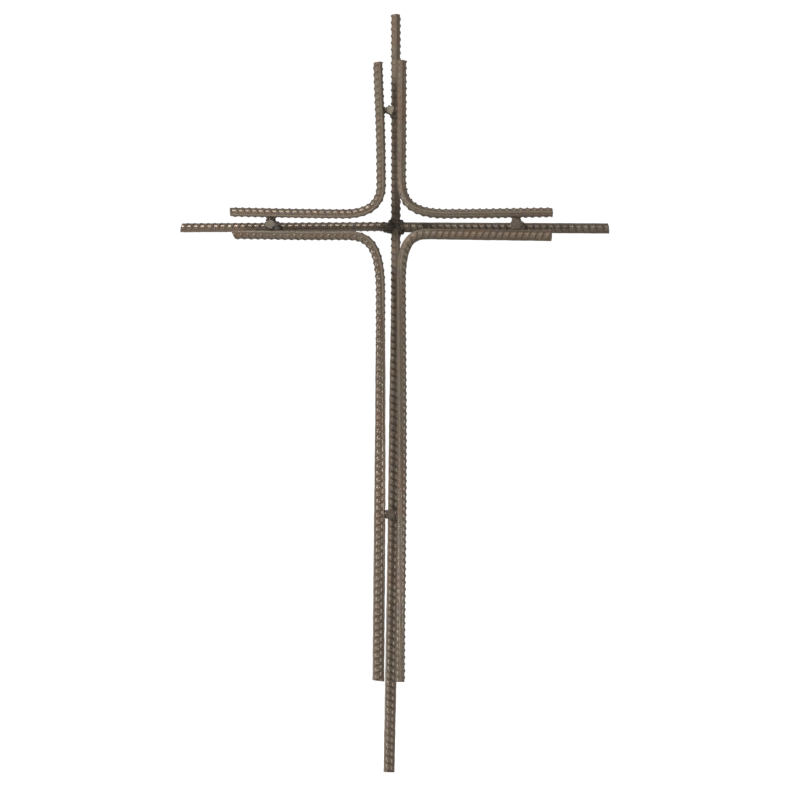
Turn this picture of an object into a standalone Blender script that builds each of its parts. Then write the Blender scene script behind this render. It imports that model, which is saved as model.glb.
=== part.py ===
"""Memorial cross welded from ribbed steel bar.

A long upright bar carries two butt-welded arms. Four L-bent bars stand in
front of the main bars, one in each corner of the cross, held by four short
pegs cut from the same bar. Weld beads join the pieces.

Metres, +Z up, X along the arms, -Y towards the viewer. The origin is the
centre of the flat-cut foot end of the upright.
"""

import math

import bmesh
import bpy
from mathutils import Vector

# ---------------------------------------------------------------- dimensions
BAR_R = 0.0040          # nominal 8 mm bar
PEG_R = 0.0039          # the pegs are offcuts of the same bar
GAP = 0.0003            # air left between two solids that touch in real life
RIM = 0.0004            # broken edge on the sawn ends
BAR_RES = 6             # bevel resolution of a bar: 16 sides

HEIGHT = 0.6615         # upright, foot end to top end
UPRIGHT_BOW = 0.0022    # the upright bows this far to +X at mid height
ARM_END_LEFT = -0.1910
ARM_END_RIGHT = 0.1890
ARM_Z_LEFT = (0.4745, 0.4762)    # height of the arm's axis at the upright, at its end
ARM_Z_RIGHT = (0.4738, 0.4701)

STANDOFF = 0.0240       # L-bars' plane in front of the main bars' plane
PEG_FACE = 0.0255       # pegs' cut face in front of the main bars' plane

# One entry for each L-bar, (x, z) of the corner where its two axes would meet,
# the axes' far ends, how far each leg bows out of straight, and the reach and
# tightness of the bend along each leg.
CORNER_BARS = {
    "corner_bar_upper_left": dict(
        corner=(-0.0062, 0.4824), h_end=(-0.1408, 0.4865), v_end=(-0.0107, 0.6155),
        h_bow=(0.0, -0.0003), v_bow=(0.0008, 0.0),
        h_reach=0.034, h_tight=0.68, v_reach=0.026, v_tight=0.64,
        h_slant=3.5, v_slant=3.0,
    ),
    "corner_bar_upper_right": dict(
        corner=(0.0110, 0.4824), h_end=(0.1434, 0.4818), v_end=(0.0105, 0.6167),
        h_bow=(0.0, -0.0003), v_bow=(0.0001, 0.0),
        h_reach=0.041, h_tight=0.90, v_reach=0.0345, v_tight=0.60,
        h_slant=2.0, v_slant=-2.0,
    ),
    "corner_bar_lower_left": dict(
        corner=(-0.0067, 0.4640), h_end=(-0.1382, 0.4668), v_end=(-0.0053, 0.0788),
        h_bow=(0.0, -0.0004), v_bow=(0.0004, 0.0),
        h_reach=0.030, h_tight=0.70, v_reach=0.052, v_tight=0.80,
        h_slant=24.0, v_slant=-7.0,
    ),
    "corner_bar_lower_right": dict(
        corner=(0.0113, 0.4653), h_end=(0.1428, 0.4616), v_end=(0.0137, 0.0780),
        h_bow=(0.0, 0.0), v_bow=(0.0011, 0.0),
        h_reach=0.025, h_tight=0.75, v_reach=0.045, v_tight=0.80,
        h_slant=0.5, v_slant=0.0,
    ),
}

# (x, z) of each peg's axis and the way its two neighbouring legs lie
PEGS = {
    "peg_top": dict(at=(0.0008, 0.5736), legs=((-1, 0), (1, 0)), carrier="upright",
                    beside=("corner_bar_upper_left", "corner_bar_upper_right")),
    "peg_left": dict(at=(-0.1051, 0.4753), legs=((0, 1), (0, -1)), carrier="arm_left",
                     beside=("corner_bar_upper_left", "corner_bar_lower_left")),
    "peg_right": dict(at=(0.1119, 0.4721), legs=((0, 1), (0, -1)), carrier="arm_right",
                      beside=("corner_bar_upper_right", "corner_bar_lower_right")),
    "peg_bottom": dict(at=(0.0040, 0.2222), legs=((-1, 0), (1, 0)), carrier="upright",
                       beside=("corner_bar_lower_left", "corner_bar_lower_right")),
}

BAR_COLOUR = (0.105, 0.078, 0.058, 1.0)
FACE_COLOUR = (0.200, 0.165, 0.128, 1.0)
WELD_COLOUR = (0.045, 0.034, 0.027, 1.0)


# ------------------------------------------------------------------- scene
for old in list(bpy.data.objects):
    bpy.data.objects.remove(old, do_unlink=True)

parts = bpy.data.collections.new("welded_bar_cross")
cutters = bpy.data.collections.new("cutters")
bpy.context.scene.collection.children.link(parts)
bpy.context.scene.collection.children.link(cutters)

frame = bpy.data.objects.new("cross_frame", None)
frame.empty_display_size = 0.05
parts.objects.link(frame)


def material(name, colour, metallic, roughness):
    mat = bpy.data.materials.new(name)
    mat.use_nodes = True
    shader = mat.node_tree.nodes["Principled BSDF"]
    shader.inputs["Base Color"].default_value = colour
    shader.inputs["Metallic"].default_value = metallic
    shader.inputs["Roughness"].default_value = roughness
    mat.diffuse_color = colour
    return mat


BAR_MATERIAL = material("patinated_bar", BAR_COLOUR, 0.35, 0.45)
PEG_MATERIAL = material("cut_bar_face", FACE_COLOUR, 0.35, 0.50)
WELD_MATERIAL = material("weld_metal", WELD_COLOUR, 0.35, 0.55)


# ------------------------------------------------------------- centrelines
def upright_x(z):
    """The upright's axis: a shallow bow that starts and ends over the foot."""
    return UPRIGHT_BOW * math.sin(math.pi * z / HEIGHT)


def upright_line(over=0.004, steps=16):
    low, high = -over, HEIGHT + over
    for i in range(steps + 1):
        z = low + (high - low) * i / steps
        yield Vector((upright_x(z), 0.0, z))


def arm_line(side, end_x, z_pair, over=0.004, steps=4):
    """From the upright's flank out to the arm's end, and a little past it."""
    root_x = upright_x(z_pair[0]) + side * (BAR_R + GAP)
    for i in range(steps + 1):
        x = root_x + (end_x + side * over - root_x) * i / steps
        share = (x - root_x) / (end_x - root_x)
        yield Vector((x, 0.0, z_pair[0] + (z_pair[1] - z_pair[0]) * share))


def bezier(p0, p1, p2, p3, steps):
    for i in range(1, steps):
        t = i / steps
        s = 1.0 - t
        yield p0 * s**3 + p1 * (3 * s * s * t) + p2 * (3 * s * t * t) + p3 * t**3


def corner_line(spec, over=0.004, bend_steps=10):
    """Axis of an L-bar from its horizontal end round the bend to its vertical end."""
    corner, h_end, v_end = (
        Vector((spec[k][0], -STANDOFF, spec[k][1])) for k in ("corner", "h_end", "v_end")
    )
    h_dir, v_dir = (h_end - corner).normalized(), (v_end - corner).normalized()
    h_len, v_len = (h_end - corner).length, (v_end - corner).length
    h_bow, v_bow = (Vector((b[0], 0.0, b[1])) for b in (spec["h_bow"], spec["v_bow"]))

    def bowed(base, direction, along, length, bow):
        u = min(max(along / length, 0.0), 1.0)
        return base + direction * along + bow * math.sin(math.pi * u) ** 2

    h_steps = max(4, round(h_len / 0.022))
    v_steps = max(4, round(v_len / 0.030))
    for i in range(h_steps + 1):
        along = h_len + over - (h_len + over - spec["h_reach"]) * i / h_steps
        yield bowed(corner, h_dir, along, h_len, h_bow)
    a = bowed(corner, h_dir, spec["h_reach"], h_len, h_bow)
    b = bowed(corner, v_dir, spec["v_reach"], v_len, v_bow)
    yield from bezier(
        a, a.lerp(corner, spec["h_tight"]), b.lerp(corner, spec["v_tight"]), b, bend_steps
    )
    for i in range(v_steps + 1):
        along = spec["v_reach"] + (v_len + over - spec["v_reach"]) * i / v_steps
        yield bowed(corner, v_dir, along, v_len, v_bow)


# -------------------------------------------------------------------- bars
def bar_mesh(name, points, radius, resolution=BAR_RES):
    """A round bar along the points, capped, as one closed mesh."""
    curve = bpy.data.curves.new(name + "_axis", "CURVE")
    curve.dimensions = "3D"
    curve.bevel_depth = radius
    curve.bevel_resolution = resolution
    curve.use_fill_caps = True
    spline = curve.splines.new("POLY")
    points = list(points)
    spline.points.add(len(points) - 1)
    for target, point in zip(spline.points, points):
        target.co = (*point, 1.0)
    holder = bpy.data.objects.new(name + "_axis", curve)
    bpy.context.scene.collection.objects.link(holder)
    bpy.context.view_layer.update()
    evaluated = holder.evaluated_get(bpy.context.evaluated_depsgraph_get())
    mesh = bpy.data.meshes.new_from_object(evaluated)
    mesh.name = name
    bpy.data.objects.remove(holder, do_unlink=True)
    bm = bmesh.new()
    bm.from_mesh(mesh)
    bmesh.ops.remove_doubles(bm, verts=bm.verts, dist=1e-5)
    bmesh.ops.recalc_face_normals(bm, faces=bm.faces)
    bm.to_mesh(mesh)
    bm.free()
    return mesh


def saw(mesh, point, outward):
    """Cuts the bar flat at the point and closes the cut."""
    bm = bmesh.new()
    bm.from_mesh(mesh)
    bmesh.ops.bisect_plane(
        bm, geom=bm.verts[:] + bm.edges[:] + bm.faces[:], dist=1e-6,
        plane_co=point, plane_no=outward, clear_outer=True,
    )
    rim = [e for e in bm.edges if e.is_boundary]
    bmesh.ops.contextual_create(bm, geom=rim)
    bmesh.ops.recalc_face_normals(bm, faces=bm.faces)
    bm.to_mesh(mesh)
    bm.free()


def shade(mesh):
    mesh.shade_smooth()
    mesh.set_sharp_from_angle(angle=math.radians(40))


def place(name, mesh, mat, location=(0.0, 0.0, 0.0)):
    """Puts a mesh in the model with its own origin at location."""
    location = Vector(location)
    for vertex in mesh.vertices:
        vertex.co -= location
    obj = bpy.data.objects.new(name, mesh)
    obj.location = location
    obj.parent = frame
    mesh.materials.clear()
    mesh.materials.append(mat)
    parts.objects.link(obj)
    shade(mesh)
    return obj


def broken_rim(obj):
    rim = obj.modifiers.new("rim", "BEVEL")
    rim.width = RIM
    rim.segments = 1
    rim.limit_method = "ANGLE"
    rim.angle_limit = math.radians(50)
    return obj


def cutter(name, points, radius=BAR_R + GAP):
    """The room that a bar takes, which the weld beads leave free."""
    obj = bpy.data.objects.new("room_of_" + name, bar_mesh("room_of_" + name, points, radius))
    cutters.objects.link(obj)
    obj.hide_render = True
    obj.display_type = "WIRE"
    return obj


def tilted(direction, degrees):
    """The direction, in the XZ plane, turned by some degrees."""
    a = math.radians(degrees)
    return Vector((
        direction.x * math.cos(a) - direction.z * math.sin(a), 0.0,
        direction.x * math.sin(a) + direction.z * math.cos(a),
    ))


room = {}

mesh = bar_mesh("upright", upright_line(), BAR_R)
saw(mesh, Vector((0, 0, 0)), Vector((0, 0, -1)))
saw(mesh, Vector((0, 0, HEIGHT)), tilted(Vector((0, 0, 1)), 2.0))
broken_rim(place("upright", mesh, BAR_MATERIAL))
room["upright"] = cutter("upright", upright_line())

for name, side, end_x, z_pair, slant in (
    ("arm_left", -1, ARM_END_LEFT, ARM_Z_LEFT, -11.0),
    ("arm_right", 1, ARM_END_RIGHT, ARM_Z_RIGHT, 7.0),
):
    mesh = bar_mesh(name, arm_line(side, end_x, z_pair), BAR_R)
    saw(mesh, Vector((end_x, 0, z_pair[1])), tilted(Vector((side, 0, 0)), slant))
    broken_rim(place(name, mesh, BAR_MATERIAL, (upright_x(z_pair[0]), 0, z_pair[0])))
    room[name] = cutter(name, arm_line(side, end_x, z_pair))

for name, spec in CORNER_BARS.items():
    corner, h_end, v_end = (
        Vector((spec[k][0], -STANDOFF, spec[k][1])) for k in ("corner", "h_end", "v_end")
    )
    mesh = bar_mesh(name, corner_line(spec), BAR_R)
    saw(mesh, h_end, tilted((h_end - corner).normalized(), spec["h_slant"]))
    saw(mesh, v_end, tilted((v_end - corner).normalized(), spec["v_slant"]))
    broken_rim(place(name, mesh, BAR_MATERIAL, corner))
    room[name] = cutter(name, corner_line(spec))


# -------------------------------------------------------------------- pegs
def carrier_axis(carrier, at):
    """Where the main bar's axis passes closest to the peg."""
    if carrier == "upright":
        return Vector((upright_x(at[1]), 0.0, at[1]))
    end_x, z_pair = (
        (ARM_END_LEFT, ARM_Z_LEFT) if carrier == "arm_left" else (ARM_END_RIGHT, ARM_Z_RIGHT)
    )
    return Vector((at[0], 0.0, z_pair[0] + (z_pair[1] - z_pair[0]) * at[0] / end_x))


def peg_foot_y(spec):
    """The peg's back end just clears the crown of the bar that carries it."""
    return -(BAR_R + GAP)


for name, spec in PEGS.items():
    back = peg_foot_y(spec)
    length = PEG_FACE + back
    bpy.ops.mesh.primitive_cylinder_add(
        vertices=16, radius=PEG_R, depth=length,
        location=(spec["at"][0], -(PEG_FACE - length / 2), spec["at"][1]),
        rotation=(math.radians(90), 0, 0),
    )
    peg = bpy.context.object
    peg.name = peg.data.name = name
    for collection in list(peg.users_collection):
        collection.objects.unlink(peg)
    parts.objects.link(peg)
    peg.parent = frame
    peg.data.materials.append(PEG_MATERIAL)
    shade(peg.data)
    broken_rim(peg)
    room[name] = cutter(
        name,
        (Vector((spec["at"][0], y, spec["at"][1])) for y in (0.0, -PEG_FACE - 0.004)),
        PEG_R + GAP,
    )


# ------------------------------------------------------------------- welds
def weld(name, centre, radii, keep_clear, segments=12, rings=8):
    """A bead of weld metal: an ellipsoid that leaves room for the bars it joins."""
    bpy.ops.mesh.primitive_uv_sphere_add(segments=segments, ring_count=rings, radius=1.0)
    bead = bpy.context.object
    bead.name = bead.data.name = name
    for vertex in bead.data.vertices:
        vertex.co = Vector(a * b for a, b in zip(vertex.co, radii))
    bead.location = centre
    for collection in list(bead.users_collection):
        collection.objects.unlink(bead)
    parts.objects.link(bead)
    bead.parent = frame
    bead.data.materials.append(WELD_MATERIAL)
    shade(bead.data)
    for other in keep_clear:
        cut = bead.modifiers.new("clear_of_" + other, "BOOLEAN")
        cut.operation = "DIFFERENCE"
        cut.solver = "EXACT"
        cut.object = room[other]
    return bead


# The crossing: one collar round the root of each arm.
for name, side, arm, z in (
    ("crossing_weld_left", -1, "arm_left", ARM_Z_LEFT[0]),
    ("crossing_weld_right", 1, "arm_right", ARM_Z_RIGHT[0]),
):
    x = upright_x(z) + side * (BAR_R + 0.0006)
    weld(name, (x, 0.0, z), (0.0036, 0.0056, 0.0058), ("upright", arm))

for name, spec in PEGS.items():
    at = spec["at"]
    axis = carrier_axis(spec["carrier"], at)
    # Round the foot of the peg, on the main bar's crown.
    weld(
        name + "_root_weld", ((at[0] + axis.x) / 2, -BAR_R - 0.0006, (at[1] + axis.z) / 2),
        (0.0060, 0.0042, 0.0060), (spec["carrier"], name),
    )
    # From the peg to the leg on either side, a little behind the cut face.
    for number, ((dx, dz), beside) in enumerate(zip(spec["legs"], spec["beside"]), 1):
        leg_gap = 0.0048
        centre = (at[0] + dx * leg_gap, -STANDOFF + 0.0010, at[1] + dz * leg_gap)
        radii = (
            0.0026 if dx else 0.0034, 0.0040, 0.0026 if dz else 0.0034,
        )
        weld(f"{name}_side_weld_{number}", centre, radii, (name, beside))
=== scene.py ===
import math

import bmesh
import bpy
import numpy as np
from mathutils import Matrix, Vector


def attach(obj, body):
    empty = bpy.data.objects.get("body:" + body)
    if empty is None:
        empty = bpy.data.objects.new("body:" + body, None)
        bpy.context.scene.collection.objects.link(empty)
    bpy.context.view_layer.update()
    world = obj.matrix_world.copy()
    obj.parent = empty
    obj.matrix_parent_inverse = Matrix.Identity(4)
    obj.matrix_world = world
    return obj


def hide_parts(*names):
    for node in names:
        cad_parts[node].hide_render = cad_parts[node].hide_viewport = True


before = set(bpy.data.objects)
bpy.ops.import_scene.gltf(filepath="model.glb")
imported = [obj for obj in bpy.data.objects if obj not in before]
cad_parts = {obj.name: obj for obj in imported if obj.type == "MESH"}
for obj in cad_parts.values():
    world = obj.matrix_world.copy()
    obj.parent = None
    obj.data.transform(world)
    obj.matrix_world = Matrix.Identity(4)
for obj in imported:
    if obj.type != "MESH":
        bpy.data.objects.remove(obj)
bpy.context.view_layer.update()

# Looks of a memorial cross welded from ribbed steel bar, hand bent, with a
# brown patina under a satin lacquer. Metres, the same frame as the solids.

# ------------------------------------------------------------- dimensions
# Axes of the bars, as in the solids.
HEIGHT = 0.6615
UPRIGHT_BOW = 0.0022
ARM_END_LEFT = -0.1910
ARM_END_RIGHT = 0.1890
ARM_Z_LEFT = (0.4745, 0.4762)
ARM_Z_RIGHT = (0.4738, 0.4701)
STANDOFF = 0.0240
PEG_FACE = 0.0255

# Section of the ribbed bar, nominal 8 mm.
CORE_R = 0.00378         # plain core between the ribs
LONG_RIB = 0.00110       # height of the two long ribs
LONG_HALF = 0.00085      # their half width at the foot
LONG_CREST = 0.00030     # half width of their crest
RIB = 0.00078            # height of a transverse rib in the middle of its row
RIB_FOOT = 0.00138       # half width of a transverse rib at its foot, along the bar
RIB_CREST = 0.00034      # half width of its crest
RIB_SPAN = math.radians(68)   # a crescent rib dies out this far from the row's middle
PITCH = 0.00592          # transverse ribs, centre to centre
SIDES = 44               # mesh columns round a bar
RINGS = 16               # mesh rings in one pitch
CHAMFER = 0.00022        # broken rim of a sawn end

# One L-bar each: corner of the two axes (x, z), far ends, bows, bend, sawn slants,
# one long rib's angle from the front at some distances along the bar from the
# horizontal end, and how its ribs were rolled: slope, pitch, where the first one
# is, how far the second row lags behind the first (share of a pitch), the height
# of the transverse and of the long ribs against the usual ones, how far both rows
# lean away from the long rib, a core radius where the bar is thicker, and how dull
# its lacquer is along it.
CORNER_BARS = {
    "upper_left": dict(
        corner=(-0.0062, 0.4824), h_end=(-0.1408, 0.4865), v_end=(-0.0107, 0.6155),
        h_bow=(0.0, -0.0003), v_bow=(0.0008, 0.0),
        h_reach=0.034, h_tight=0.68, v_reach=0.026, v_tight=0.64, slants=(3.5, 3.0),
        twist=((0.0, 44.0), (0.12, 44.0), (0.20, 39.0), (0.27, 38.0)),
        slope=0.46, pitch=0.00600, phase=0.0050, stagger=0.10, rib=0.89, long_rib=1.00, matt=((0.0, 0.14), (0.12, 0.20), (0.15, 0.30)),
    ),
    "upper_right": dict(
        corner=(0.0110, 0.4824), h_end=(0.1434, 0.4818), v_end=(0.0105, 0.6167),
        h_bow=(0.0, -0.0003), v_bow=(0.0001, 0.0),
        h_reach=0.041, h_tight=0.90, v_reach=0.0345, v_tight=0.60, slants=(2.0, -2.0),
        twist=((0.0, 0.0), (0.11, 6.0), (0.16, 9.0), (0.26, 14.0)),
        slope=0.46, pitch=0.00594, phase=0.0042, stagger=0.22, rib=0.94, long_rib=0.90, matt=((0.0, 0.30),),
    ),
    "lower_left": dict(
        corner=(-0.0067, 0.4640), h_end=(-0.1382, 0.4668), v_end=(-0.0053, 0.0788),
        h_bow=(0.0, -0.0004), v_bow=(0.0004, 0.0),
        h_reach=0.030, h_tight=0.70, v_reach=0.052, v_tight=0.80, slants=(24.0, -7.0),
        twist=((0.0, -31.0), (0.12, -33.0), (0.15, -42.0), (0.19, -51.0), (0.22, -64.0),
               (0.25, -68.0), (0.285, -71.0), (0.33, -79.0), (0.373, -89.0), (0.41, -93.0), (0.52, -101.0)),
        slope=0.46, pitch=0.00601, phase=0.0034, stagger=0.18, rib=0.86, long_rib=1.05, lean=5.0, core=0.00384,
        matt=((0.0, 0.0), (0.32, 0.0), (0.40, 0.25)),
    ),
    "lower_right": dict(
        corner=(0.0113, 0.4653), h_end=(0.1428, 0.4616), v_end=(0.0137, 0.0780),
        h_bow=(0.0, 0.0), v_bow=(0.0011, 0.0),
        h_reach=0.025, h_tight=0.75, v_reach=0.045, v_tight=0.80, slants=(0.5, 0.0),
        twist=((0.0, 86.0), (0.09, 84.0), (0.17, 22.0), (0.30, 17.0), (0.52, -26.0)),
        slope=-0.46, pitch=0.00585, phase=0.0042, stagger=0.50, rib=0.80, long_rib=0.80, matt=((0.0, 0.80), (0.17, 0.70), (0.28, 0.20)),
    ),
}

# The pegs' axes (x, z), the radius over their sawn face, and the tilt of the cut
# in degrees about the vertical and about the horizontal.
PEGS = {
    "top": dict(at=(0.0008, 0.5736), face_r=0.0037, turn=-5.0, nod=4.0, phase=0.001, twist=20.0),
    "left": dict(at=(-0.1051, 0.4753), face_r=0.0041, turn=3.0, nod=1.0, phase=0.003, twist=75.0),
    "right": dict(at=(0.1119, 0.4721), face_r=0.0045, turn=4.0, nod=-3.0, phase=0.002, twist=-30.0),
    "bottom": dict(at=(0.0040, 0.2222), face_r=0.0043, turn=6.0, nod=-5.0, phase=0.004, twist=50.0),
}


# ---------------------------------------------------------------- helpers
def ease(t):
    t = np.clip(t, 0.0, 1.0)
    return t * t * (3.0 - 2.0 * t)


def wrap(angle):
    return (angle + math.pi) % (2.0 * math.pi) - math.pi


def scatter(cells, seed):
    """A number from 0 to 1 for each whole-number cell."""
    mixed = np.sin(cells[..., 0] * 127.1 + cells[..., 1] * 311.7
                   + cells[..., 2] * 74.7 + seed * 53.3) * 43758.5453
    return mixed - np.floor(mixed)


def lumps(points, size, seed=0):
    """Smooth noise from -1 to 1 with features of the given size."""
    q = np.asarray(points, float) / size
    cell = np.floor(q)
    f = ease(q - cell)
    total = np.zeros(q.shape[:-1])
    for dx in (0, 1):
        for dy in (0, 1):
            for dz in (0, 1):
                weight = (
                    (f[..., 0] if dx else 1 - f[..., 0])
                    * (f[..., 1] if dy else 1 - f[..., 1])
                    * (f[..., 2] if dz else 1 - f[..., 2])
                )
                total += weight * scatter(cell + np.array([dx, dy, dz]), seed)
    return total * 2.0 - 1.0


def turned(x, z, degrees):
    """A direction in the XZ plane, turned by some degrees."""
    a = math.radians(degrees)
    return np.array([x * math.cos(a) - z * math.sin(a), 0.0, x * math.sin(a) + z * math.cos(a)])


def unit(v):
    v = np.asarray(v, float)
    return v / np.linalg.norm(v)


# ------------------------------------------------------------------- axes
def upright_x(z):
    return UPRIGHT_BOW * np.sin(math.pi * z / HEIGHT)


def upright_axis():
    z = np.linspace(0.0, HEIGHT, 500)
    return np.stack([upright_x(z), np.zeros_like(z), z], axis=1)


def arm_axis(side, end_x, z_pair):
    """Left to right, with the inner end just inside the upright's flank."""
    root = upright_x(z_pair[0]) + side * (CORE_R - 0.0006)
    x = np.linspace(root, end_x, 60)
    share = (x - root) / (end_x - root)
    z = z_pair[0] + (z_pair[1] - z_pair[0]) * share
    line = np.stack([x, np.zeros_like(x), z], axis=1)
    return line if side > 0 else line[::-1]


def corner_axis(spec):
    """From the horizontal end round the bend to the vertical end."""
    corner, h_end, v_end = (
        np.array([spec[k][0], -STANDOFF, spec[k][1]]) for k in ("corner", "h_end", "v_end")
    )
    h_len, v_len = np.linalg.norm(h_end - corner), np.linalg.norm(v_end - corner)
    h_dir, v_dir = (h_end - corner) / h_len, (v_end - corner) / v_len
    h_bow, v_bow = (np.array([b[0], 0.0, b[1]]) for b in (spec["h_bow"], spec["v_bow"]))

    def bowed(direction, along, length, bow):
        along = np.atleast_1d(along)[:, None]
        return corner + direction * along + bow * np.sin(math.pi * along / length) ** 2

    leg_h = bowed(h_dir, np.linspace(h_len, spec["h_reach"], 120), h_len, h_bow)
    leg_v = bowed(v_dir, np.linspace(spec["v_reach"], v_len, 240), v_len, v_bow)
    a, b = leg_h[-1], leg_v[0]
    p1 = a + (corner - a) * spec["h_tight"]
    p2 = b + (corner - b) * spec["v_tight"]
    t = np.linspace(0.0, 1.0, 82)[1:-1, None]
    bend = a * (1 - t)**3 + p1 * 3 * t * (1 - t)**2 + p2 * 3 * t**2 * (1 - t) + b * t**3
    return np.concatenate([leg_h, bend, leg_v])


# -------------------------------------------------------------- ribbed bar
def section_relief(s, theta, turn, pitch, slope, phase, seed, lean, stagger, rib, long_rib):
    """Height of the long ribs and of the transverse ribs over the core, at distance s and angle theta,
    and a band along the foot of each long rib, for painted shade in the crease there."""
    rel = wrap(theta - turn)
    from_long = np.minimum(np.abs(rel), np.abs(wrap(rel - math.pi))) * CORE_R
    wavy = 1.0 + 0.10 * np.sin(s * 410.0 + seed) * np.sin(s * 173.0 + 2.0 * seed)
    ridge = LONG_RIB * long_rib * wavy * ease((LONG_HALF * 1.6 - from_long) / (LONG_HALF * 1.6 - LONG_CREST))
    # painted shade: a dark band in the crease beside each long rib
    crease_shade = ease(1.0 - np.abs(from_long - LONG_HALF * 1.7) / 0.00055) + 0.0 * s
    ribs = np.zeros_like(rel)
    for row, middle in enumerate((math.pi / 2 + lean, -math.pi / 2 - lean)):
        alpha = wrap(rel - middle)
        where = s - phase - row * stagger * pitch - slope * CORE_R * alpha
        count = np.floor(where / pitch + 0.5)
        off = np.abs(where - count * pitch)
        # each rib is rolled a little higher, lower or wider than the next
        own = np.stack([count, np.full_like(count, row), np.zeros_like(count)], axis=-1)
        height = RIB * rib * (0.93 + 0.16 * scatter(own, seed))
        crest = RIB_CREST * (0.8 + 0.5 * scatter(own, seed + 3.0))
        across = ease((RIB_FOOT - off) / (RIB_FOOT - crest))
        along = np.clip(1.0 - (alpha / RIB_SPAN) ** 2, 0.0, 1.0) ** 0.8
        ribs = np.maximum(ribs, height * across * along)
    return ridge, ribs, crease_shade


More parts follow.
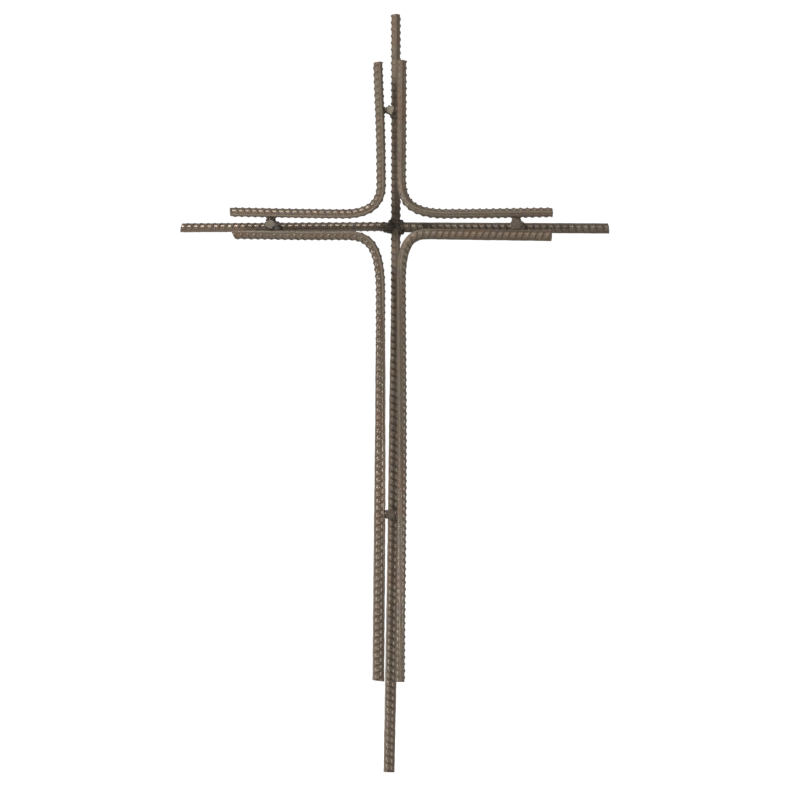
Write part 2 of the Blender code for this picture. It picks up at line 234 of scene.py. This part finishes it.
def ribbed_bar(name, axis, front, twist, slope, phase, seed, pitch=PITCH,
               normals=(None, None), core=CORE_R, lean=0.0, stagger=0.5, rib=1.0, long_rib=1.0,
               tone=0.0, matt=((0.0, 0.0),)):
    """A length of ribbed bar along the axis, sawn flat at both ends, as one closed mesh.

    twist holds (distance, degrees) pairs for one of the long ribs, counted from
    the front direction towards tangent x front. lean moves both rows of ribs
    away from it, in degrees. tone darkens the paint. matt holds (distance,
    dullness of the lacquer) pairs.
    """
    step = pitch / RINGS
    gaps = np.linalg.norm(np.diff(axis, axis=0), axis=1)
    run = np.concatenate([[0.0], np.cumsum(gaps)])
    length = run[-1]
    count = int(round(length / step))
    s = np.linspace(0.0, length, count + 1)
    s = np.concatenate([[0.0, CHAMFER], s[1:-1], [length - CHAMFER, length]])
    centre = np.stack([np.interp(s, run, axis[:, k]) for k in range(3)], axis=1)
    spread = 0.0016
    ahead, behind = np.minimum(s + spread, length), np.maximum(s - spread, 0.0)
    tangent = np.stack(
        [np.interp(ahead, run, axis[:, k]) - np.interp(behind, run, axis[:, k]) for k in range(3)],
        axis=1,
    )
    tangent /= np.linalg.norm(tangent, axis=1)[:, None]
    e1 = np.broadcast_to(unit(front), tangent.shape)
    e2 = np.cross(tangent, e1)

    theta = 2.0 * math.pi * np.arange(SIDES) / SIDES
    around = np.cos(theta)[None, :, None] * e1[:, None, :] + np.sin(theta)[None, :, None] * e2[:, None, :]
    knots = np.array(twist, float)
    turn = np.interp(s, knots[:, 0], np.radians(knots[:, 1]))
    kernel = np.hanning(2 * RINGS * 2 + 1)
    padded = np.pad(turn, RINGS * 2, mode="edge")
    turn = np.convolve(padded, kernel / kernel.sum(), mode="valid")

    # the saw cuts: every column is slid along the bar so that its end lies in the cut
    shift = np.zeros((len(s), SIDES))
    for end, normal in ((0, normals[0]), (-1, normals[1])):
        if normal is None:
            continue
        reach = ease(1.0 - np.abs(s - s[end]) / 0.012)
        slide = -core * (around[end] @ normal) / float(tangent[end] @ normal)
        shift += reach[:, None] * slide[None, :]

    along = s[:, None] + shift
    ridge, ribs, crease_shade = section_relief(along, theta[None, :], turn[:, None], pitch, slope, phase, seed,
                                         math.radians(lean), stagger, rib, long_rib)
    relief = (ridge**4 + ribs**4) ** 0.25
    skin = centre[:, None, :] + around * core
    uneven = 0.00005 * lumps(skin, 0.0050, seed) + 0.00003 * lumps(skin, 0.0014, seed + 1)
    radius = core + relief + uneven
    radius[0] -= CHAMFER
    radius[-1] -= CHAMFER
    # the cut follows the true outline, ribs included
    for end, normal in ((0, normals[0]), (-1, normals[1])):
        if normal is None:
            continue
        slide = -radius[end] * (around[end] @ normal) / float(tangent[end] @ normal)
        shift[end] = slide
    grid = centre[:, None, :] + around * radius[:, :, None] + tangent[:, None, :] * shift[:, :, None]

    # crest and hollow, for the dark ribs and the painted highlight in the valleys between them
    pad = RINGS // 2
    mean = relief.copy()
    for _ in range(2):
        tall = np.pad(mean, ((pad, pad), (0, 0)), mode="edge")
        tall = np.cumsum(np.pad(tall, ((1, 0), (0, 0))), axis=0)
        mean = (tall[2 * pad + 1:] - tall[:-(2 * pad + 1)]) / (2 * pad + 1)
        mean = sum(np.roll(mean, k, axis=1) for k in range(-2, 3)) / 5.0
    long_rib_share = ridge**4 / (ridge**4 + ribs**4 + 1e-18)      # the long ribs are not darkened: they are rougher, and painted paler as a highlight
    crest = np.clip((relief - mean) / 0.00045, 0.0, 1.0) * (1.0 - long_rib_share)
    hollow = np.clip((mean - relief) / 0.00025, 0.0, 1.0)
    # the long ribs' mask: rougher lacquer, and a painted highlight along their crests
    dull = long_rib_share * np.clip(ridge / (0.5 * LONG_RIB), 0.0, 1.0)

    verts = [grid.reshape(-1, 3)]
    crests, hollows = [crest.ravel()], [hollow.ravel()]
    rows = len(s)
    i, j = np.meshgrid(np.arange(rows - 1), np.arange(SIDES), indexing="ij")
    nxt = (j + 1) % SIDES
    quads = np.stack([i * SIDES + j, i * SIDES + nxt, (i + 1) * SIDES + nxt, (i + 1) * SIDES + j], axis=-1)
    faces = quads.reshape(-1, 4).tolist()
    marks = [0] * len(faces)
    total = rows * SIDES
    for end, outward in ((0, -1), (rows - 1, 1)):
        rim = grid[end]
        middle = centre[end]
        before = end * SIDES
        for share in (0.94, 0.70, 0.40):
            ring = middle + (rim - middle) * share
            ring += tangent[end] * (0.00002 * lumps(ring, 0.0016, seed + 5))[:, None]
            verts.append(ring)
            crests.append(np.full(SIDES, 0.5 if share > 0.9 else 0.0))
            hollows.append(np.zeros(SIDES))
            for a in range(SIDES):
                b = (a + 1) % SIDES
                quad = [before + a, before + b, total + b, total + a]
                faces.append(quad if outward > 0 else quad[::-1])
                marks.append(1)
            before = total
            total += SIDES
        verts.append(middle[None, :])
        crests.append(np.zeros(1))
        hollows.append(np.zeros(1))
        for a in range(SIDES):
            tri = [before + a, before + (a + 1) % SIDES, total]
            faces.append(tri if outward > 0 else tri[::-1])
            marks.append(1)
        total += 1
    verts = np.concatenate(verts)
    mesh = bpy.data.meshes.new(name)
    mesh.from_pydata(verts.tolist(), [], faces)
    mesh.polygons.foreach_set("material_index", np.array(marks, np.int32))
    store(mesh, "crest", np.concatenate(crests))
    store(mesh, "hollow", np.concatenate(hollows))
    # the long ribs' mask, for rougher lacquer and painted highlight, and the band beside them, for painted shade
    store(mesh, "ridge", np.concatenate([dull.ravel(), np.zeros(total - dull.size)]))
    store(mesh, "crease_shade", np.concatenate([(crease_shade * (1.0 - crest)).ravel(), np.zeros(total - dull.size)]))
    store(mesh, "tone", np.full(total, tone))
    pairs = np.array(matt, float)
    worn = np.repeat(np.interp(s, pairs[:, 0], pairs[:, 1]), SIDES)
    store(mesh, "matt", np.concatenate([worn, np.zeros(total - worn.size)]))
    return finish_piece(name, mesh)


def store(mesh, name, values):
    layer = mesh.attributes.new(name, "FLOAT", "POINT")
    layer.data.foreach_set("value", np.asarray(values, np.float32))


def finish_piece(name, mesh):
    mesh.shade_smooth()
    mesh.validate()
    mesh.update()
    obj = bpy.data.objects.new(name, mesh)
    bpy.context.scene.collection.objects.link(obj)
    return obj


# ------------------------------------------------------------- weld beads
def bead(name, lobes, seed, voxel=0.00030, soften=5, rough=0.00022, drops=()):
    """Weld metal: overlapping lobes run together, then lumpy.

    A lobe is (centre, radii). Drops are small round spatters, (centre, radius).
    """
    bm = bmesh.new()
    for centre, radii in lobes:
        place = Matrix.Translation(Vector(centre)) @ Matrix.Diagonal((*radii, 1.0))
        bmesh.ops.create_icosphere(bm, subdivisions=3, radius=1.0, matrix=place)
    raw = bpy.data.meshes.new(name + "_lobes")
    bm.to_mesh(raw)
    bm.free()
    holder = bpy.data.objects.new(name + "_lobes", raw)
    bpy.context.scene.collection.objects.link(holder)
    remesh = holder.modifiers.new("run_together", "REMESH")
    remesh.mode = "VOXEL"
    remesh.voxel_size = voxel
    bpy.context.view_layer.update()
    mesh = bpy.data.meshes.new_from_object(holder.evaluated_get(bpy.context.evaluated_depsgraph_get()))
    bpy.data.objects.remove(holder, do_unlink=True)
    bpy.data.meshes.remove(raw)

    bm = bmesh.new()
    bm.from_mesh(mesh)
    for _ in range(soften):
        bmesh.ops.smooth_vert(bm, verts=bm.verts, factor=0.5, use_axis_x=True, use_axis_y=True, use_axis_z=True)
    bm.normal_update()
    co = np.array([v.co for v in bm.verts])
    normal = np.array([v.normal for v in bm.verts])
    push = rough * lumps(co, 0.0021, seed) + 0.45 * rough * lumps(co, 0.0009, seed + 1)
    for vert, where in zip(bm.verts, co + normal * push[:, None]):
        vert.co = where
    for centre, radius in drops:
        place = Matrix.Translation(Vector(centre)) @ Matrix.Diagonal((radius, radius, radius, 1.0))
        bmesh.ops.create_icosphere(bm, subdivisions=2, radius=1.0, matrix=place)
    bm.to_mesh(mesh)
    bm.free()
    mesh.name = name
    co = np.array([v.co for v in mesh.vertices])
    store(mesh, "crest", np.clip(0.5 + 0.5 * lumps(co, 0.0021, seed), 0, 1))
    store(mesh, "hollow", np.clip(-lumps(co, 0.0021, seed), 0, 1))
    return finish_piece(name, mesh)


# ------------------------------------------------------------------ pieces
FRONT = (0.0, -1.0, 0.0)
bars, pegs, welds = {}, {}, {}

bars["upright"] = ribbed_bar(
    "ribbed_upright", upright_axis(), FRONT,
    twist=((0.0, 101.0), (0.16, 99.0), (0.30, 92.0), (0.42, 52.0), (0.50, 26.0), (0.56, 19.0), (0.662, 19.0)),
    slope=-0.46, phase=0.0050, seed=1.0, pitch=0.005985, rib=0.95,
    matt=((0.0, 0.15), (0.18, 0.30), (0.30, 0.75), (0.50, 0.85), (0.56, 0.40)),
    normals=(np.array([0.0, 0.0, -1.0]), turned(0, 1, 2.0)),
)
bars["arm_left"] = ribbed_bar(
    "ribbed_arm_left", arm_axis(-1, ARM_END_LEFT, ARM_Z_LEFT), FRONT,
    twist=((0.0, 62.0), (0.05, 60.0), (0.09, 50.0), (0.19, 38.0)), slope=-0.46, phase=0.0019, seed=2.0, pitch=0.00609,
    lean=8.0, rib=0.80, long_rib=0.75,
    normals=(turned(-1, 0, -11.0), None),
)
bars["arm_right"] = ribbed_bar(
    "ribbed_arm_right", arm_axis(1, ARM_END_RIGHT, ARM_Z_RIGHT), FRONT,
    twist=((0.0, 93.0), (0.2, 95.0)), slope=0.46, phase=0.0012, seed=3.0, pitch=0.00606, rib=1.20, long_rib=0.58,
    tone=0.50, matt=((0.0, 0.25),),
    normals=(None, turned(1, 0, 7.0)),
)
for number, (name, spec) in enumerate(CORNER_BARS.items()):
    away_h = unit((spec["h_end"][0] - spec["corner"][0], 0, spec["h_end"][1] - spec["corner"][1]))
    away_v = unit((spec["v_end"][0] - spec["corner"][0], 0, spec["v_end"][1] - spec["corner"][1]))
    bars["corner_bar_" + name] = ribbed_bar(
        "ribbed_corner_bar_" + name, corner_axis(spec), FRONT, spec["twist"],
        slope=spec["slope"], phase=spec["phase"], seed=4.0 + number, pitch=spec["pitch"],
        stagger=spec["stagger"], rib=spec["rib"], long_rib=spec["long_rib"],
        lean=spec.get("lean", 0.0), core=spec.get("core", CORE_R), matt=spec.get("matt", ((0.0, 0.0),)),
        normals=(
            turned(away_h[0], away_h[2], spec["slants"][0]),
            turned(away_v[0], away_v[2], spec["slants"][1]),
        ),
    )

for number, (name, spec) in enumerate(PEGS.items()):
    x, z = spec["at"]
    y = np.linspace(-(CORE_R - 0.0005), -PEG_FACE, 20)
    line = np.stack([np.full_like(y, x), y, np.full_like(y, z)], axis=1)
    tilt = np.array([
        math.sin(math.radians(spec["turn"])), -1.0, math.sin(math.radians(spec["nod"])),
    ])
    pegs[name] = ribbed_bar(
        "peg_" + name + "_offcut", line, (0, 0, 1), ((0.0, spec["twist"]), (0.03, spec["twist"])),
        slope=0.46, phase=spec["phase"], seed=11.0 + number, normals=(None, unit(tilt)),
        core=spec["face_r"] - 0.0003,
    )


def saddle_ring(at, carrier, ring_r, lobe_r, count, seed, gaps=()):
    """Lobes of a fillet weld round the foot of a peg, lying on the round bar that carries it."""
    lobes = []
    for k in range(count):
        a = 2.0 * math.pi * (k + 0.3 * math.sin(k * 2.1 + seed)) / count
        x, z = at[0] + ring_r * math.cos(a), at[1] + ring_r * math.sin(a)
        off = (x - carrier[0]) if carrier[2] == "upright" else (z - carrier[1])
        depth = math.sqrt(max(CORE_R**2 - off**2, 0.0)) if abs(off) < CORE_R else 0.0
        size = lobe_r * (1.0 + 0.16 * math.sin(k * 3.7 + seed * 1.3))
        lobes.append(((x, -depth - 0.0004, z), (size, size * 1.05, size)))
    return lobes


def neck(p, q, waist, foot, depth, y):
    """Lobes of a weld that bridges two neighbours: wide on each flank, narrower between."""
    p, q = np.array(p, float), np.array(q, float)
    span = np.linalg.norm(q - p)
    along = (q - p) / span
    across = np.array([-along[1], along[0]])
    thin = max(0.32 * span, 0.0012)
    lobes = []
    for share, wide in ((0.0, foot), (0.25, waist), (0.5, waist * 0.94), (0.75, waist), (1.0, foot)):
        for side in (-1.0, 0.0, 1.0):
            x, z = p + along * span * share + across * side * wide * 0.50
            radii = [0.0, depth * (1.0 if side == 0.0 else 0.86), 0.0]
            radii[0] = abs(along[0]) * thin + abs(across[0]) * wide * 0.55
            radii[2] = abs(along[1]) * thin + abs(across[1]) * wide * 0.55
            lobes.append(((x, y, z), radii))
    return lobes


def leg_x(spec, z):
    """Where the vertical leg's axis passes at a height."""
    (cx, cz), (ex, ez) = spec["corner"], spec["v_end"]
    share = (z - cz) / (ez - cz)
    return cx + (ex - cx) * share + spec["v_bow"][0] * math.sin(math.pi * share) ** 2


def leg_z(spec, x):
    """Where the horizontal leg's axis passes at a distance from the middle."""
    (cx, cz), (ex, ez) = spec["corner"], spec["h_end"]
    share = (x - cx) / (ex - cx)
    return cz + (ez - cz) * share + spec["h_bow"][1] * math.sin(math.pi * share) ** 2


# Root welds round the foot of each peg.
CARRIER = {
    "top": (float(upright_x(0.5736)), 0.5736, "upright"),
    "left": (-0.1051, 0.4754, "arm"),
    "right": (0.1119, 0.4718, "arm"),
    "bottom": (float(upright_x(0.2222)), 0.2222, "upright"),
}
for number, (name, spec) in enumerate(PEGS.items()):
    at = spec["at"]
    lobes = saddle_ring(at, CARRIER[name], 0.0040, 0.0015, 18, number * 1.7)
    node = f"peg_{name}_root_weld"
    welds[node] = bead("bead_" + node, lobes, seed=21.0 + number)

# Side welds from each peg to the legs beside it, just behind the cut face.
SIDE = {
    "top": (("upper_left", "v", 0.0023, 0.0032, 0.0034), ("upper_right", "v", 0.0030, 0.0042, 0.0034)),
    "left": (("upper_left", "h", 0.0039, 0.0044, 0.0032), ("lower_left", "h", 0.0028, 0.0036, 0.0030)),
    "right": (("upper_right", "h", 0.0030, 0.0042, 0.0034), ("lower_right", "h", 0.0038, 0.0042, 0.0032)),
    "bottom": (("lower_left", "v", 0.0032, 0.0040, 0.0034), ("lower_right", "v", 0.0032, 0.0042, 0.0034)),
}
for number, (name, pair) in enumerate(SIDE.items()):
    x, z = PEGS[name]["at"]
    peg_r = PEGS[name]["face_r"]
    for which, (leg, way, waist, foot, depth) in enumerate(pair, 1):
        bar = CORNER_BARS[leg]
        if way == "v":
            lx = leg_x(bar, z)
            side = 1.0 if lx > x else -1.0
            p, q = (x + side * (peg_r - 0.0006), z), (lx - side * (CORE_R - 0.0003), z)
        else:
            lz = leg_z(bar, x)
            side = 1.0 if lz > z else -1.0
            p, q = (x, z + side * (peg_r - 0.0006)), (x, lz - side * (CORE_R - 0.0003))
        node = f"peg_{name}_side_weld_{which}"
        welds[node] = bead(
            "bead_" + node, neck(p, q, waist, foot, depth, -STANDOFF + 0.0022),
            seed=31.0 + 2 * number + which,
        )

# The collars at the crossing, with the runs and drips that show below and above the arms.
CROSSING_EXTRA = {
    "left": (
        ((-0.0071, -0.0006, 0.4708), (0.0027, 0.0024, 0.0018)),
        ((-0.0046, -0.0006, 0.4700), (0.0022, 0.0026, 0.0018)),
    ),
    "right": (
        ((0.0066, -0.0002, 0.4786), (0.0021, 0.0024, 0.0020)),
        ((0.0084, -0.0002, 0.4772), (0.0020, 0.0022, 0.0013)),
        ((0.0072, -0.0004, 0.4690), (0.0022, 0.0026, 0.0020)),
    ),
}
for side, name, z in ((-1, "left", ARM_Z_LEFT[0]), (1, "right", ARM_Z_RIGHT[0])):
    root = float(upright_x(z))
    lobes = []
    for k in range(12):
        a = 2.0 * math.pi * (k + 0.25 * math.sin(k * 1.9 + side)) / 12
        y, dz = 0.0031 * math.cos(a), 0.0045 * math.sin(a)
        flank = math.sqrt(max(CORE_R**2 - y**2, 0.0))
        size = 0.0019 * (1.0 + 0.18 * math.sin(k * 2.9 + side * 2.0))
        lobes.append(((root + side * (flank + 0.0009), y, z + dz), (size * 1.05, size, size)))
    lobes += list(CROSSING_EXTRA[name])
    node = f"crossing_weld_{name}"
    welds[node] = bead("bead_" + node, lobes, seed=51.0 + side)

# -------------------------------------------------------------- soot marks
HEAT = [np.array([float(upright_x(0.474)), 0.0, 0.474])] + [
    np.array([x, y, z]) for x, z in (spec["at"] for spec in PEGS.values()) for y in (-0.004, -0.020)
]
for group in (bars, pegs, welds):
    for obj in group.values():
        co = np.array([v.co for v in obj.data.vertices])
        soot = np.zeros(len(co))
        for number, point in enumerate(HEAT):
            reach, deep = (0.0125, 1.0) if number == 0 else (0.0075, 0.55)
            away = np.linalg.norm(co - point, axis=1)
            soot = np.maximum(soot, deep * np.exp(-(away / reach) ** 2))
        soot = np.clip(soot * (1.0 + 0.35 * lumps(co, 0.004, 9)), 0.0, 1.0)
        store(obj.data, "soot", soot)


# --------------------------------------------------------------- materials
class Nodes:
    """Short names for the few kinds of node that the materials use."""

    def __init__(self, name):
        self.material = bpy.data.materials.new(name)
        self.material.use_nodes = True
        self.tree = self.material.node_tree
        self.tree.nodes.clear()
        self.output = self.tree.nodes.new("ShaderNodeOutputMaterial")
        self.shader = self.tree.nodes.new("ShaderNodeBsdfPrincipled")
        self.link(self.shader.outputs[0], self.output.inputs[0])
        self.place = self.tree.nodes.new("ShaderNodeTexCoord").outputs["Object"]

    def link(self, source, target):
        self.tree.links.new(source, target)

    def noise(self, scale, detail=3.0, roughness=0.55, distortion=0.0, stretch=None):
        node = self.tree.nodes.new("ShaderNodeTexNoise")
        node.inputs["Scale"].default_value = scale
        node.inputs["Detail"].default_value = detail
        node.inputs["Roughness"].default_value = roughness
        node.inputs["Distortion"].default_value = distortion
        place = self.place
        if stretch:
            mapping = self.tree.nodes.new("ShaderNodeMapping")
            mapping.inputs["Scale"].default_value = stretch
            self.link(place, mapping.inputs["Vector"])
            place = mapping.outputs[0]
        self.link(place, node.inputs["Vector"])
        return node.outputs["Fac"]

    def spread(self, value, low, high, out_low=0.0, out_high=1.0):
        node = self.tree.nodes.new("ShaderNodeMapRange")
        node.interpolation_type = "SMOOTHSTEP"
        for name, number in zip(("From Min", "From Max", "To Min", "To Max"),
                                (low, high, out_low, out_high)):
            node.inputs[name].default_value = number
        self.link(value, node.inputs["Value"])
        return node.outputs["Result"]

    def math(self, kind, a, b):
        node = self.tree.nodes.new("ShaderNodeMath")
        node.operation = kind
        for slot, value in zip(node.inputs, (a, b)):
            if isinstance(value, (int, float)):
                slot.default_value = value
            else:
                self.link(value, slot)
        return node.outputs[0]

    def mix(self, amount, a, b, kind="MIX"):
        node = self.tree.nodes.new("ShaderNodeMix")
        node.data_type = "RGBA"
        node.blend_type = kind
        node.clamp_factor = True
        self.link(amount, node.inputs["Factor"])
        for slot, value in ((node.inputs[6], a), (node.inputs[7], b)):
            if isinstance(value, tuple):
                slot.default_value = (*value, 1.0)
            else:
                self.link(value, slot)
        return node.outputs[2]

    def height(self):
        node = self.tree.nodes.new("ShaderNodeSeparateXYZ")
        self.link(self.place, node.inputs[0])
        return node.outputs["Z"]

    def attribute(self, name):
        node = self.tree.nodes.new("ShaderNodeAttribute")
        node.attribute_name = name
        return node.outputs["Fac"]

    def bump(self, height, distance, strength=1.0, over=None):
        node = self.tree.nodes.new("ShaderNodeBump")
        node.inputs["Distance"].default_value = distance
        node.inputs["Strength"].default_value = strength
        self.link(height, node.inputs["Height"])
        if over is not None:
            self.link(over, node.inputs["Normal"])
        return node.outputs["Normal"]


def patina(name, brown, olive, plum, rust, pale, dark, roughness, metallic, coat, bump):
    """Brown patina under lacquer: tones that drift along the bar, dull dark ribs, painted highlight in the valleys
    between them and along the long ribs, painted shade beside the long ribs.
    """
    n = Nodes(name)
    drift = n.noise(38.0, 3.0, 0.5, 0.6)
    tint = n.noise(21.0, 2.0, 0.5, 0.4)
    cloud = n.noise(120.0, 4.0, 0.6)
    speck = n.noise(760.0, 4.0, 0.65)
    grain = n.noise(2600.0, 2.0, 0.5)
    colour = n.mix(n.spread(drift, 0.44, 0.60), brown, olive)
    colour = n.mix(n.spread(cloud, 0.52, 0.68), colour, plum)
    rusty = n.math("MULTIPLY", n.spread(tint, 0.52, 0.64), n.spread(cloud, 0.38, 0.60, 0.10, 0.65))
    colour = n.mix(rusty, colour, rust)
    colour = n.mix(n.spread(speck, 0.60, 0.78, 0.0, 0.25), colour, pale)
    colour = n.mix(n.spread(speck, 0.42, 0.28, 0.0, 0.30), colour, dark)
    # rain and sun reach the top of the cross first: duller lacquer, ribs hardly darker
    dull = n.spread(n.height(), 0.485, 0.560, 0.0, 1.0)
    rib = n.math("MULTIPLY", n.attribute("crest"), n.spread(cloud, 0.30, 0.62, 0.74, 0.38))
    rib = n.math("MULTIPLY", rib, n.math("SUBTRACT", 1.0, n.math("MULTIPLY", dull, 0.92)))
    colour = n.mix(rib, colour, n.mix(n.spread(drift, 0.56, 0.70, 0.0, 0.75), dark, tuple(c * 0.72 for c in rust)))
    # painted highlight on the bars: the valleys between the ribs and the long ribs mixed towards pale; on the weld
    # beads, pale patches at random
    pale_patch_and_highlight = n.math("MULTIPLY", n.attribute("hollow"), n.spread(drift, 0.35, 0.65, 0.20, 0.55))
    pale_patch_and_highlight = n.math("MAXIMUM", pale_patch_and_highlight, n.math("MULTIPLY", n.attribute("ridge"), 0.40))
    colour = n.mix(pale_patch_and_highlight, colour, pale)
    # painted shade in the crease along the foot of each long rib
    colour = n.mix(n.math("MULTIPLY", n.attribute("crease_shade"), n.spread(cloud, 0.35, 0.65, 0.35, 0.70)), colour, dark)
    colour = n.mix(n.attribute("tone"), colour, (0.68, 0.70, 0.74), kind="MULTIPLY")
    soot = n.math("MULTIPLY", n.attribute("soot"), 0.70)
    colour = n.mix(soot, colour, tuple(c * 0.62 for c in dark))
    n.link(colour, n.shader.inputs["Base Color"])
    rough = n.math("ADD", n.spread(cloud, 0.35, 0.70, roughness - 0.05, roughness + 0.09),
                   n.math("MULTIPLY", n.math("MAXIMUM", n.attribute("crest"), n.attribute("ridge")), 0.22))
    rough = n.math("ADD", rough, n.math("MULTIPLY", n.attribute("matt"), 0.28))
    n.link(n.math("ADD", rough, n.math("MULTIPLY", dull, 0.16)), n.shader.inputs["Roughness"])
    n.shader.inputs["Metallic"].default_value = metallic
    glossy = n.math("MULTIPLY", n.math("SUBTRACT", 1.0, dull), n.math("SUBTRACT", 1.0, n.attribute("matt")))
    n.link(n.math("MULTIPLY", glossy, coat), n.shader.inputs["Coat Weight"])
    n.shader.inputs["Coat Roughness"].default_value = 0.24
    height = n.math("ADD", speck, n.math("MULTIPLY", grain, 0.35))
    n.link(n.bump(height, bump), n.shader.inputs["Normal"])
    return n.material


def cut_face(name, colour_a, colour_b, roughness):
    """A sawn end: fine parallel saw marks under thin patina, darker towards the rim."""
    n = Nodes(name)
    cloud = n.noise(420.0, 4.0, 0.6)
    saw = n.noise(900.0, 2.0, 0.5, 0.2, stretch=(0.18, 1.0, 2.4))
    colour = n.mix(n.spread(cloud, 0.40, 0.66), colour_a, colour_b)
    colour = n.mix(n.spread(saw, 0.58, 0.74, 0.0, 0.35), colour, tuple(c * 0.55 for c in colour_a))
    colour = n.mix(n.math("MULTIPLY", n.attribute("crest"), 0.8), colour, tuple(c * 0.6 for c in colour_a))
    n.link(colour, n.shader.inputs["Base Color"])
    n.link(n.spread(cloud, 0.3, 0.7, roughness - 0.05, roughness + 0.12), n.shader.inputs["Roughness"])
    n.shader.inputs["Metallic"].default_value = 0.25
    n.link(n.bump(saw, 0.00010), n.shader.inputs["Normal"])
    return n.material


BAR = patina(
    "brown_patina_bar", brown=(0.172, 0.122, 0.085), olive=(0.157, 0.128, 0.087),
    plum=(0.156, 0.121, 0.107), rust=(0.202, 0.117, 0.073), pale=(0.238, 0.191, 0.146), dark=(0.066, 0.046, 0.030),
    roughness=0.35, metallic=0.46, coat=0.14, bump=0.00002,
)
WELD = patina(
    "dark_weld_metal", brown=(0.112, 0.083, 0.061), olive=(0.101, 0.085, 0.060),
    plum=(0.098, 0.078, 0.066), rust=(0.130, 0.082, 0.056), pale=(0.180, 0.145, 0.115), dark=(0.050, 0.037, 0.028),
    roughness=0.38, metallic=0.45, coat=0.22, bump=0.00008,
)
FACE = cut_face("sawn_end", (0.120, 0.098, 0.074), (0.170, 0.145, 0.112), 0.50)
PEG_FACES = {
    "top": cut_face("sawn_end_olive", (0.168, 0.146, 0.102), (0.220, 0.196, 0.142), 0.50),
    "left": cut_face("sawn_end_taupe", (0.148, 0.124, 0.094), (0.196, 0.168, 0.130), 0.50),
    "right": cut_face("sawn_end_umber", (0.112, 0.084, 0.064), (0.150, 0.119, 0.092), 0.46),
    "bottom": cut_face("sawn_end_brown", (0.104, 0.076, 0.057), (0.138, 0.107, 0.083), 0.46),
}

for group, slot, looks in (
    (bars, "bar", (BAR, FACE)), (pegs, "peg", (BAR, FACE)), (welds, "weld", (WELD,)),
):
    for key, obj in group.items():
        for look in looks:
            obj.data.materials.append(PEG_FACES[key] if group is pegs and look is FACE else look)
        node = "peg_" + key if group is pegs else key
        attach(obj, "root")
        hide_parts(node)

# ------------------------------------------------------------------- floor
bpy.ops.mesh.primitive_plane_add(size=14.0, location=(0.0, 0.0, 0.0))
floor = bpy.context.object
floor.name = "studio_floor"
paint = Nodes("pale_floor")
paint.shader.inputs["Base Color"].default_value = (0.80, 0.80, 0.79, 1.0)
paint.shader.inputs["Roughness"].default_value = 0.95
paint.shader.inputs["Specular IOR Level"].default_value = 0.0
paint.shader.inputs["Emission Color"].default_value = (1.0, 1.0, 1.0, 1.0)
glow = paint.tree.nodes.new("ShaderNodeLightPath").outputs["Is Camera Ray"]   # an evenly lit seamless floor
paint.link(glow, paint.shader.inputs["Emission Strength"])
floor.data.materials.append(paint.material)

# ------------------------------------------------------------------- light
CENTRE = Vector((0.0, 0.0, 0.36))


def softbox(name, azimuth, elevation, distance, size, watts, colour=(1.0, 1.0, 1.0)):
    """A square softbox that faces the cross. Azimuth 0 is the front, positive to the right."""
    a, e = math.radians(azimuth), math.radians(elevation)
    away = Vector((math.sin(a) * math.cos(e), -math.cos(a) * math.cos(e), math.sin(e)))
    data = bpy.data.lights.new(name, "AREA")
    data.shape = "RECTANGLE"
    data.size, data.size_y = size
    data.energy = watts
    data.color = colour
    lamp = bpy.data.objects.new(name, data)
    lamp.location = CENTRE + away * distance
    lamp.rotation_euler = away.to_track_quat("Z", "Y").to_euler()
    bpy.context.scene.collection.objects.link(lamp)
    return lamp


softbox("key_softbox", -28.0, 38.0, 2.6, (0.7, 0.7), 46.0, (1.0, 0.99, 0.975))
softbox("right_strip", 72.0, -4.0, 2.3, (0.58, 0.55), 15.0)
softbox("left_strip", -68.0, -4.0, 2.2, (0.40, 0.55), 15.5)

world = bpy.data.worlds.new("white_studio")
bpy.context.scene.world = world
world.use_nodes = True
tree = world.node_tree
tree.nodes.clear()
sky_out = tree.nodes.new("ShaderNodeOutputWorld")
seen = tree.nodes.new("ShaderNodeBackground")
seen.inputs["Color"].default_value = (1.0, 1.0, 1.0, 1.0)
seen.inputs["Strength"].default_value = 1.05
felt = tree.nodes.new("ShaderNodeBackground")
felt.inputs["Color"].default_value = (1.0, 1.0, 1.0, 1.0)
direction = tree.nodes.new("ShaderNodeTexCoord")
parts = tree.nodes.new("ShaderNodeSeparateXYZ")
tree.links.new(direction.outputs["Generated"], parts.inputs[0])
room = tree.nodes.new("ShaderNodeMapRange")      # dim towards the camera's side, white behind
room.interpolation_type = "SMOOTHSTEP"
for name, number in (("From Min", -0.9), ("From Max", 0.8), ("To Min", 0.155), ("To Max", 0.42)):
    room.inputs[name].default_value = number
tree.links.new(parts.outputs["Y"], room.inputs["Value"])
tree.links.new(room.outputs["Result"], felt.inputs["Strength"])
path = tree.nodes.new("ShaderNodeLightPath")
choose = tree.nodes.new("ShaderNodeMixShader")
tree.links.new(path.outputs["Is Camera Ray"], choose.inputs[0])
tree.links.new(felt.outputs[0], choose.inputs[1])
tree.links.new(seen.outputs[0], choose.inputs[2])
tree.links.new(choose.outputs[0], sky_out.inputs[0])

bpy.context.scene.view_settings.view_transform = "Standard"

# ------------------------------------------------------------------ camera
EYE = Vector((0.61568, -3.13243, 0.0835))
TARGET = Vector((0.0068, 0.0, 0.32258))
ROLL = math.radians(0.5)
back = (EYE - TARGET).normalized()
right = Vector((0, 0, 1)).cross(back).normalized()
up = back.cross(right)
right, up = right * math.cos(ROLL) + up * math.sin(ROLL), up * math.cos(ROLL) - right * math.sin(ROLL)
lens = bpy.data.cameras.new("camera")
lens.sensor_width = 36.0
lens.lens = 165.52
lens.clip_start, lens.clip_end = 0.1, 60.0
camera = bpy.data.objects.new("camera", lens)
camera.matrix_world = Matrix((
    (right.x, up.x, back.x, EYE.x), (right.y, up.y, back.y, EYE.y), (right.z, up.z, back.z, EYE.z), (0, 0, 0, 1),
))
bpy.context.scene.collection.objects.link(camera)
bpy.context.scene.camera = camera
